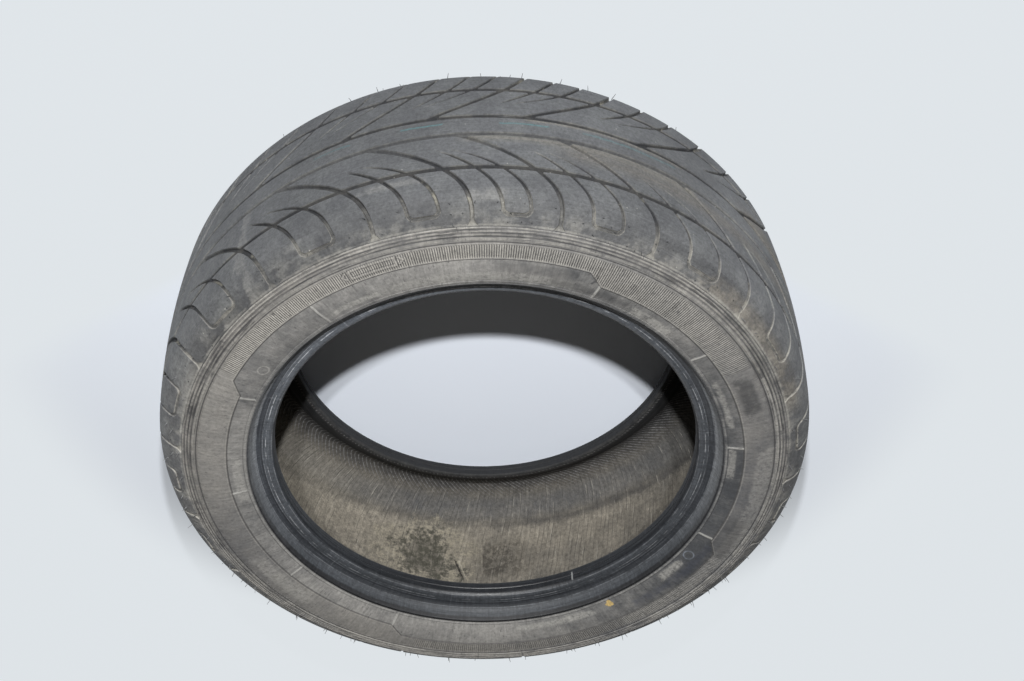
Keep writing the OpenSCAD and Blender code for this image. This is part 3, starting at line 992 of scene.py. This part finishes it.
# How dusty the sidewall is, round the tyre.
SIDE_DUST = [
    (-180, 0.56), (-150, 0.68), (-112, 0.4), (-82, 0.66), (-40, 0.72), (0, 0.56), (35, 0.52),
    (75, 0.42), (100, 0.32), (122, 0.2), (142, 0.38), (165, 0.5), (180, 0.52),
]
# The same for the recessed band.
BAND_DUST = [
    (-180, 0.75), (-140, 0.66), (-100, 0.54), (-80, 0.72), (-60, 0.46), (-40, 0.58), (-10, 0.74),
    (14, 0.48), (24, 0.42), (40, 0.5), (60, 0.38), (80, 0.26), (100, 0.12), (120, 0.14),
    (140, 0.38), (160, 0.6), (180, 0.75),
]


def sidewall_rubber():
    f = Finish("sidewall_rubber")
    crest, along, past_band = f.field("crest"), f.field("along"), f.field("past_band")
    inner = RIM_LINE_AT / MM - along
    side = f.z.math("SIGN")
    broad = f.noise(13.0, 4.0, 0.6)
    blotch = f.noise(60.0, 5.0, 0.65)
    mottle = f.noise(300.0, 4.0, 0.75)
    grain = f.noise(1100.0, 2.0, 0.6)
    brush = f.streaks(110.0, 40.0, f.radius, detail=4.0, rough=0.7)
    ring = f.streaks(6.0, 420.0, f.radius, detail=4.0, rough=0.7)
    dusty = f.levels_round(SIDE_DUST)
    share = dusty + (broad - 0.5) * 0.6 + (blotch - 0.5) * 0.5
    colour = f.blend(share.step(0.0, 1.0), tone(88, 89, 92), tone(150, 147, 141))
    # The band's own dust lies differently from that on the serration.
    band_dust = f.levels_round(BAND_DUST)
    band_share = band_dust + (broad - 0.5) * 0.5 + (blotch - 0.5) * 0.9
    band = f.blend(band_share.step(0.0, 1.0), tone(68, 70, 73), tone(152, 150, 146))
    colour = f.blend(past_band.step(0.6, -0.6), colour, band)
    warped_turn = f.turn + (blotch - 0.5) * 7.0
    warped_inner = (inner + (blotch - 0.5) * 5.0) * side
    colour = stains(f, colour, SIDE_STAINS_AND_SHADE, f.noise(150.0, 4.0, 0.7), warped_turn, warped_inner)
    # Dust on what stands up; dark dirt and painted shade in what lies between.
    gap_dirt_and_shade = crest.step(0.5, 0.02) * (0.4 + 0.52 * f.turn.between(-75.0, 75.0, 12.0))
    colour = f.blend(gap_dirt_and_shade, colour, tone(46, 45, 44))
    colour = f.blend(crest.step(0.55, 1.0) * (0.3 + 0.55 * dusty), colour, tone(184, 180, 170))
    place_on_rib = ((along - FIRST_RIB / MM) / (RIB_PITCH / MM) + 0.5).math("FRACT") - 0.5
    ribs = along.between(FIRST_RIB / MM - 1.5, BROAD_RIB / MM - 1.0, 0.4)
    # The furrows between the shoulder ribs are painted dark: painted shade with dirt.
    furrow = ribs * abs(place_on_rib).step(0.2, 0.4)
    colour = f.blend(furrow * (0.4 + 0.5 * ring.step(0.4, 0.6)), colour, tone(56, 56, 58))
    rib_top = along.between(FIRST_RIB / MM - 1.5, BROAD_RIB / MM + 1.5, 0.4) * (1 - furrow)
    colour = f.blend(rib_top * blotch.step(0.35, 0.6) * 0.4, colour, tone(164, 161, 154))
    rubbed = rib_top * ring.step(0.54, 0.64)
    colour = f.blend(rubbed * 0.7, colour, tone(52, 52, 54))
    colour = f.blend(inner.between(48.2, 49.4, 0.4) * 0.75, colour, tone(50, 50, 52))
    # Edge line and bars of the band, and the rim line. The dark edge line is painted shade on the step at
    # the band's edge, and the pale strip beside it a painted highlight.
    edge_line = abs(past_band).step(1.0, 0.4)
    colour = f.blend(edge_line * 0.7, colour, tone(66, 65, 64))
    colour = f.blend(past_band.between(1.1, 2.0, 0.3) * 0.3, colour, tone(166, 163, 156))
    sign = f.field("sign")
    colour = f.blend(sign.between(0.1, 0.5, 0.1) * 0.5, colour, tone(60, 60, 60))
    colour = f.blend(sign.step(0.5, 0.8) * 0.6, colour, tone(160, 157, 151))
    bar = f.field("bar") * past_band.step(0.2, -0.4) * inner.step(3.4, 4.2)
    colour = f.blend(bar.step(0.1, 0.7) * 0.7, colour, tone(172, 171, 166))
    rim_dust = inner.between(2.0, 3.8, 0.4) * blotch.step(0.3, 0.6)
    colour = f.blend(rim_dust * 0.5, colour, tone(150, 149, 146))
    # Painted shade: a dark strip on the inner side of the rim rib, and a dark line in the crease where the
    # band starts.
    colour = f.blend(inner.step(2.0, 1.0) * 0.6, colour, tone(66, 67, 69))
    colour = f.blend(inner.between(4.3, 4.9, 0.35) * 0.4, colour, tone(56, 56, 58))
    # Paint dot and two plain moulded rings.
    drop = dot(f, inner, 146.7, 9.0) + (f.noise(160.0, 3.0, 0.7) - 0.5) * 11.0
    colour = f.blend(drop.step(4.4, 3.0) * 0.85, colour, tone(200, 172, 108))
    for turn, at, ring_colour, strength in MOULDED_RINGS:
        rim = abs(dot(f, inner, turn, at) - 5.2).step(0.9, 0.4) * blotch.step(0.3, 0.55)
        colour = f.blend(rim * side.step(0.0, 0.5) * strength, colour, ring_colour)
    colour = f.shade(colour, 0.85 * brush + 1.05 * mottle)
    cracks = f.streaks(160.0, 160.0, f.radius, detail=2.0).step(0.64, 0.7)
    colour = f.blend(cracks * 0.5, colour, tone(56, 56, 58))
    scuff = f.streaks(60.0, 9.0, f.radius, detail=3.0).step(0.66, 0.72) * broad.step(0.45, 0.6)
    colour = f.blend(scuff * 0.5, colour, tone(46, 46, 48))
    roughness = 0.68 + 0.2 * blotch
    normal = f.bump(grain * 0.7 + brush * 0.5, 0.3 * MM)
    normal = f.bump(blotch + mottle, 0.4 * MM, normal)
    return f.finish(colour, roughness, normal)


# Worn lines round the bead: millimetres outward from the seat, colour and strength.
BEAD_LINES = [
    (10.6, tone(124, 127, 131), 0.5), (16.6, tone(118, 121, 125), 0.5),
    (12.0, tone(24, 25, 28), 0.6), (2.2, tone(140, 142, 145), 0.4),
]
# How grey the bead is: (millimetres outward from the seat, level).
BEAD_GREY = [
    (-2, 0.1), (1.0, 0.12), (2.6, 0.42), (9.6, 0.36), (11.5, 0.14), (15.8, 0.16), (17.6, 0.5),
    (20.6, 0.54), (21.4, 0.08), (24, 0.03),
]
# Painted light on the stretch under the rim line, round the tyre: most at the sides.
BEAD_SIDE_LIGHT = [
    (-180, 0.0), (-125, 0.0), (-105, 0.2), (-80, 0.6), (-60, 0.7), (-40, 0.1), (38, 0.1),
    (50, 0.9), (75, 0.9), (92, 0.7), (112, 0.2), (130, 0.0), (180, 0.0),
]
# Painted light and shade round the tyre: how much lighter or darker the bead is made at each turn.
BEAD_LIGHT_AND_SHADE = [
    (-180, 0.45), (-150, 0.46), (-125, 0.56), (-90, 0.86), (-60, 0.94), (-30, 1.0), (0, 0.98),
    (25, 0.76), (50, 0.62), (90, 0.6), (120, 0.5), (180, 0.45),
]


def bead_rubber():
    f = Finish("bead_rubber")
    height = f.z.math("ABSOLUTE") * 1000.0
    reach = (f.radius - SEAT_R) * 1000.0
    broad = f.noise(15.0, 3.0, 0.6)
    blotch = f.noise(90.0, 4.0, 0.65)
    mottle = f.noise(330.0, 4.0, 0.75)
    upright = f.streaks(120.0, 30.0, f.z, detail=3.0, rough=0.7)
    ring = f.streaks(4.0, 900.0, f.radius + f.z, detail=4.0, rough=0.7)
    fine = f.streaks(10.0, 3000.0, f.radius + f.z * 0.7, detail=2.0)
    # Dark seat, greyer face, dark hollow, and a pale rubbed stretch under the rim line, with painted light
    # on it at the sides.
    grey = f.levels(reach + (blotch - 0.5) * 2.0, BEAD_GREY)
    colour = f.blend(grey + (broad - 0.5) * 0.3, tone(33, 36, 41), tone(92, 96, 101))
    colour = f.blend(ring.step(0.52, 0.66) * 0.4, colour, tone(96, 99, 104))
    colour = f.blend(ring.step(0.46, 0.36) * 0.4, colour, tone(32, 33, 36))
    # Painted shade: darker just under the lip of the rim line.
    colour = f.blend(height.step(106.8, 107.8) * 0.85, colour, tone(40, 41, 43))
    worn_line = abs(reach - 7.6 + (broad - 0.5) * 1.5).step(0.5, 0.2)
    colour = f.blend(worn_line * blotch.step(0.42, 0.6) * 0.7, colour, tone(158, 160, 163))
    for at, line_tone, strength in BEAD_LINES:
        line = abs(reach - at + (broad - 0.5) * 0.8).step(0.45, 0.15) * blotch.step(0.36, 0.56)
        colour = f.blend(line * strength, colour, line_tone)
    toe = height.step((TOE_Z + 2.4 * MM) / MM, (TOE_Z + 0.6 * MM) / MM)
    colour = f.blend(toe * blotch.step(0.3, 0.6) * 0.55, colour, tone(128, 127, 124))
    scratch = fine.step(0.68, 0.74) * broad.step(0.42, 0.6)
    colour = f.blend(scratch * 0.45, colour, tone(168, 172, 176))
    nicks = upright.step(0.66, 0.72) * mottle.step(0.45, 0.6)
    colour = f.blend(nicks * 0.4, colour, tone(130, 132, 134))
    mark = abs(f.turn - 153.4 + (mottle - 0.5) * 0.3).step(0.3, 0.15) * f.z.between(0.083, 0.093, 0.001)
    colour = f.blend(mark * 0.85, colour, tone(206, 208, 208))
    # Painted light: the stretch under the rim line is made paler at the sides.
    painted_side_light = f.levels_round(BEAD_SIDE_LIGHT)
    colour = f.blend(painted_side_light * reach.between(17.0, 22.4, 1.0) * 0.75, colour, tone(142, 145, 148))
    # Painted shade: the lower bead is made darker than the upper one.
    lower = f.z.step(0.0, -0.02)
    colour = f.blend(lower * 0.7, colour, tone(34, 34, 35))
    # Painted light and shade: the bead is made lighter at the front and darker at the back, and its seat
    # darker still at the back.
    bead_light_and_shade = f.levels_round(BEAD_LIGHT_AND_SHADE)
    seat_share = reach.step(1.4, 0.3) * (0.75 - 0.6 * bead_light_and_shade)
    colour = f.blend(seat_share, colour, tone(20, 21, 23))
    colour = f.shade(colour, (-0.35 + 1.0 * upright + 1.5 * mottle) * bead_light_and_shade * 2.0)
    roughness = 0.33 + 0.22 * blotch + 0.15 * reach.step(10.0, 18.0) + 0.3 * lower
    normal = f.bump(ring * 0.5 + blotch * 0.5 + mottle * 0.4, 0.35 * MM)
    return f.finish(colour, roughness, normal)


# How dusty the liner is: (radius less height in millimetres, level); the dip at 131, behind the toe, is
# painted shade.
LINER_DUST_AND_SHADE = [
    (110, 0.14), (128, 0.12), (131, 0.02), (136, 0.3), (148, 0.5), (158, 0.36), (172, 0.26),
    (190, 0.3), (200, 0.22), (206, 0.34), (226, 0.56), (245, 0.55), (266, 0.44), (312, 0.42),
]


def liner_rubber():
    f = Finish("liner_rubber")
    broad = f.noise(9.0, 4.0, 0.6, distort=0.4)
    blotch = f.noise(42.0, 5.0, 0.7)
    mottle = f.noise(260.0, 4.0, 0.75)
    grain = f.noise(700.0, 3.0, 0.65)
    # Way along the section from the toe, as radius less height: 131 behind the toe, 303 at the middle.
    inward = (f.radius - f.z.math("ABSOLUTE")) * 1000.0
    strands = f.streaks(70.0, 14.0, f.z + f.radius, detail=4.0, rough=0.7)
    level = f.levels(inward + (broad - 0.5) * 16.0 + (blotch - 0.5) * 10.0, LINER_DUST_AND_SHADE)
    level = level + (broad - 0.5) * 0.5 + (blotch - 0.5) * 0.9
    colour = f.blend(level.step(-0.1, 1.0), tone(62, 61, 60), tone(152, 145, 132))
    cool = inward.between(160.0, 196.0, 9.0)
    colour = f.blend(cool * 0.4, colour, tone(88, 90, 94))
    left = f.turn.between(-150.0, -95.0, 14.0)
    colour = f.blend(left * inward.step(135.0, 150.0) * 0.5, colour, tone(124, 119, 108))
    right = f.turn.between(92.0, 138.0, 14.0)
    colour = f.blend(right * 0.5, colour, tone(74, 74, 73))
    # A dark line where the ply ends, clearer on one side.
    ply_line = abs(inward - 207.0 + (broad - 0.5) * 18.0 + (mottle - 0.5) * 5.0).step(8.0, 1.0)
    ply_share = 0.2 + 0.38 * f.turn.between(85.0, 176.0, 14.0)
    colour = f.blend(ply_line * ply_share, colour, tone(58, 57, 57))
    # Comb lines slant down the section; a hatch of short strokes lies behind the toe.
    slanted = f.turn - inward * 0.036 + (broad - 0.5) * 1.6 + (blotch - 0.5) * 0.5
    comb = abs((slanted * 0.97).math("FRACT") - 0.5).step(0.13, 0.05) * strands.step(0.42, 0.58)
    pale_comb = abs((slanted * 0.61 + 0.12).math("FRACT") - 0.5).step(0.07, 0.03) * strands.step(0.5, 0.62)
    past_toe = inward.step(134.0, 144.0)
    colour = f.blend(comb * past_toe * 0.42, colour, tone(56, 55, 53))
    colour = f.blend(pale_comb * past_toe * 0.4, colour, tone(162, 158, 148))
    stroke = abs((f.turn * 0.85 + inward * 0.16).math("FRACT") - 0.5).step(0.2, 0.08)
    behind_toe = inward.step(168.0, 142.0)
    # Painted shade: behind the toe the liner is made dark, under a hatch of pale strokes.
    colour = f.blend(behind_toe * 0.7, colour, tone(54, 54, 56))
    colour = f.blend(behind_toe * stroke * (0.3 + 0.6 * mottle.step(0.4, 0.6)), colour, tone(128, 128, 128))
    # Dried dust, a dark damp patch with a pale rim beside it, and a short crack.
    edge = (blotch - 0.5) * 16.0
    low_side = f.z.step(0.012, -0.002)
    clods = f.noise(150.0, 4.0, 0.7)
    dust = (f.turn + edge * 0.5).between(-160.0, -141.0, 3.0) * (inward + edge).between(208.0, 300.0, 8.0)
    colour = f.blend(dust * low_side * (0.1 + 0.5 * clods.step(0.44, 0.6)), colour, tone(154, 147, 134))
    beside, along_it = (f.turn + 167.5) / 7.0, (inward - 260.0) / 36.0
    spot = (beside * beside + along_it * along_it).math("SQRT") + (blotch - 0.5) * 2.6 + (clods - 0.5) * 1.8
    rim = spot.between(0.9, 1.6, 0.2) * low_side
    colour = f.blend(rim * (0.2 + 0.5 * clods.step(0.46, 0.58)), colour, tone(156, 149, 132))
    damp = spot.step(1.15, 0.55) * low_side
    colour = f.blend(damp * (0.2 + 0.6 * clods.step(0.6, 0.42)), colour, tone(62, 62, 52))
    brown = (f.turn + edge * 0.6).between(171.0, 184.0, 3.5) * (inward + edge).between(236.0, 286.0, 9.0)
    colour = f.blend(brown * low_side * (0.2 + 0.5 * clods.step(0.56, 0.44)), colour, tone(62, 58, 52))
    jagged = f.turn + (inward - 250.0) * 0.062 + (mottle - 0.5) * 1.2
    crack = abs(jagged + 173.2).step(0.3, 0.12)
    scratched = abs(jagged + 173.9).step(0.26, 0.1)
    torn = inward.between(262.0, 288.0, 3.0) * mottle.step(0.34, 0.46) * low_side
    colour = f.blend(crack * torn * 0.9, colour, tone(30, 28, 26))
    colour = f.blend(scratched * torn * 0.45, colour, tone(172, 166, 150))
    colour = f.shade(colour, -0.55 + 0.9 * strands + 1.5 * mottle + 0.7 * grain)
    specks = 1 - f.cells(90.0).step(0.05, 0.09)
    colour = f.blend(specks * blotch.step(0.55, 0.62) * 0.6, colour, tone(190, 184, 170))
    roughness = 0.78 + 0.15 * blotch
    normal = f.bump(grain * 0.6 + mottle + strands - comb * 0.6 + stroke * behind_toe, 0.5 * MM)
    return f.finish(colour, roughness, normal)


def coat(piece, *materials):
    piece.data.materials.clear()
    for material in materials:
        piece.data.materials.append(material)


tread_finish = tread_rubber()
side_finish = sidewall_rubber()
coat(tread_upper, tread_finish)
coat(tread_lower, tread_finish)
coat(sidewall_upper, side_finish)
coat(sidewall_lower, side_finish)
coat(vent_spews, tread_finish)
coat(carcass, liner_rubber(), bead_rubber())
TOE_EDGE_R = SEAT_R + 2 * TOE_R
for part in carcass.data.polygons:
    radius = math.hypot(part.center.x, part.center.y)
    height = abs(part.center.z)
    if height > TOE_Z + TOE_R or (height > TOE_Z - 0.2 * MM and radius < TOE_EDGE_R):
        part.material_index = 1 if radius < RIM_LINE_R + 8 * MM else 0


# Floor, light and world
FLOOR_SIZE = 30
FLOOR_TONES = ((0.79, 0.84, 0.92, 1), (0.81, 0.86, 0.94, 1))
BACKDROP_TONE = (0.74, 0.78, 0.81, 1)
# Distance from the axis at which the even backdrop takes over, and the width over which it does.
EVEN_FROM, EVEN_FROM_FRONT = 0.43, 0.25
EVEN_OVER, EVEN_OVER_FRONT = 0.12, 0.02
EVEN_LEAST, EVEN_MORE = 0.25, 0.72
# It comes in outside the hole, and from the middle towards the front, over these stretches.
HOLE_FADE = (0.22, 0.27)
FRONT_FADE = (0.1, -0.12)


def pale_floor():
    """Plain backdrop; away from the tyre, camera and reflections see most of it at one even tone."""
    f = Finish("pale_floor")
    colour = f.blend(f.noise(2.0, 2.0).step(0.3, 0.7), *FLOOR_TONES)
    matt = f.surface(colour, 0.9, f.bump(f.noise(300.0), 0.05 * MM))
    even = f.node("Emission", {}, {"Color": BACKDROP_TONE, "Strength": 1.0})
    camera_ray, glossy_ray, clear_ray = (
        f.node("LightPath", {}, {}, "Is %s Ray" % kind) for kind in ("Camera", "Glossy", "Transmission"))
    seen = camera_ray.highest(glossy_ray).highest(clear_ray)
    front = f.y.step(*FRONT_FADE)
    starts_at = EVEN_FROM - (EVEN_FROM - EVEN_FROM_FRONT) * front
    reach = (f.radius - starts_at) / (EVEN_OVER - (EVEN_OVER - EVEN_OVER_FRONT) * front)
    share = seen * f.radius.step(*HOLE_FADE) * (EVEN_LEAST + EVEN_MORE * reach.step(0.0, 1.0))
    f.node_output(f.node("MixShader", {}, {0: share, 1: matt, 2: even}))
    return f.material


bpy.ops.object.select_all(action="DESELECT")
bpy.ops.mesh.primitive_plane_add(size=FLOOR_SIZE, location=(0, 0, -HALF_W))
floor = bpy.context.object
floor.name = floor.data.name = "floor"
coat(floor, pale_floor())


# Name, place, size across in metres, and power.
LAMPS = (
    ("flash", (0.02, -1.3, 1.085), 0.04, 27.5),
    ("key", (0.1, -5.51, 4.82), 0.15, 190),
    ("back_fill", (0.3, 2.6, 0.75), 1.6, 8),
)
WORLD_TONE = (1.0, 0.95, 0.89, 1)
WORLD_STRENGTH = 0.088


def soft_light(name, place_at, size, power):
    """Round lamp that faces the middle of the tyre."""
    lamp = bpy.data.lights.new(name, "AREA")
    lamp.shape = "DISK"
    lamp.size = size
    lamp.energy = power
    holder = bpy.data.objects.new(name, lamp)
    bpy.context.scene.collection.objects.link(holder)
    facing = Vector(place_at).to_track_quat("Z", "Y").to_matrix().to_4x4()
    holder.matrix_world = Matrix.Translation(place_at) @ facing


for lamp_name, lamp_at, lamp_size, lamp_power in LAMPS:
    soft_light(lamp_name, lamp_at, lamp_size, lamp_power)
world = bpy.data.worlds.new("studio")
bpy.context.scene.world = world
world.use_nodes = True
world.node_tree.nodes["Background"].inputs["Color"].default_value = WORLD_TONE
world.node_tree.nodes["Background"].inputs["Strength"].default_value = WORLD_STRENGTH
bpy.context.scene.view_settings.view_transform = "Standard"

for piece in (tread_upper, tread_lower, sidewall_upper, sidewall_lower, carcass, vent_spews):
    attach(piece, "root")
    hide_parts("tyre")
